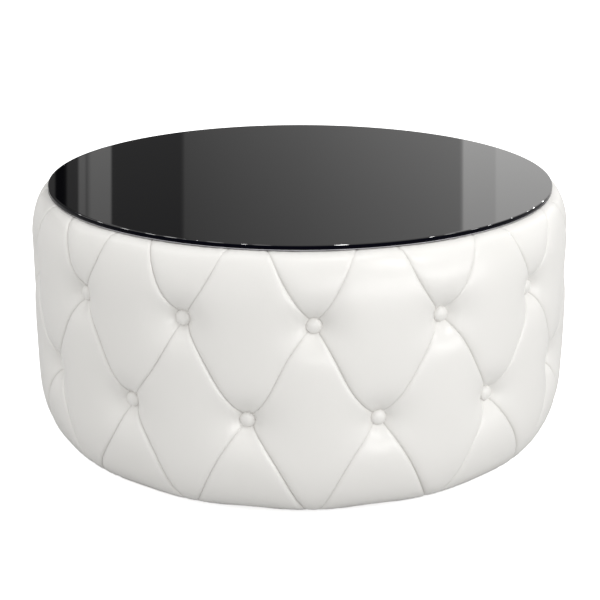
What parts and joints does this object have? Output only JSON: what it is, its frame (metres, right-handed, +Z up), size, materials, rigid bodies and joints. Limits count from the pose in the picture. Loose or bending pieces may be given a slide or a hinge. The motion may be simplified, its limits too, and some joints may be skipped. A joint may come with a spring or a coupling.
{
  "type": "ottoman coffee table",
  "caption": "Round deep-buttoned leatherette ottoman used as a coffee table, with a loose dark glass top lying on clear bumpers.",
  "frame": {"origin": "on the floor, in the middle of the table", "axes": "+Z up through the glass, -Y towards the front, +X to the right seen from the front"},
  "size_m": [0.9136, 0.9136, 0.424],
  "materials": {
    "black_glass": "polished dark glass",
    "clear_silicone": "soft satin",
    "white_leatherette": "smooth, soft sheen",
    "foam": "open-cell upholstery foam",
    "plywood": "raw",
    "softwood": "raw",
    "hardboard": "raw, smooth face out",
    "staple_steel": "galvanised",
    "screw_steel": "yellow zinc",
    "twine": "waxed",
    "toggle_plastic": "moulded",
    "dust_cloth": "non-woven",
    "glide_plastic": "moulded"
  },
  "bodies": {
    "ottoman": {"top_cover": "white_leatherette", "top_pad": "foam", "top_board": "plywood", "top_cover_staples": "staple_steel", "board_screws": "screw_steel", "deck_panel": "plywood", "deck_battens": "softwood", "batten_screws": "screw_steel", "deck_screws": "screw_steel", "posts": "softwood", "base_ring": "plywood", "base_screws": "screw_steel", "side_skin": "hardboard", "skin_staples": "staple_steel", "side_foam": "foam", "side_cover": "white_leatherette", "rim_staples": "staple_steel", "hem_staples": "staple_steel", "upper_buttons": "white_leatherette", "lower_buttons": "white_leatherette", "button_twines": "twine", "button_toggles": "toggle_plastic", "dust_cover": "dust_cloth", "dust_staples": "staple_steel", "glides": "glide_plastic", "glide_screws": "staple_steel"},
    "glass": {"glass_top": "black_glass", "glass_bumpers": "clear_silicone"}
  },
  "joints": [
    {"name": "glass_lift", "type": "slide", "parent": "ottoman", "child": "glass", "axis": [0, 0, 1], "range_m": [0, 0.12]}
  ]
}
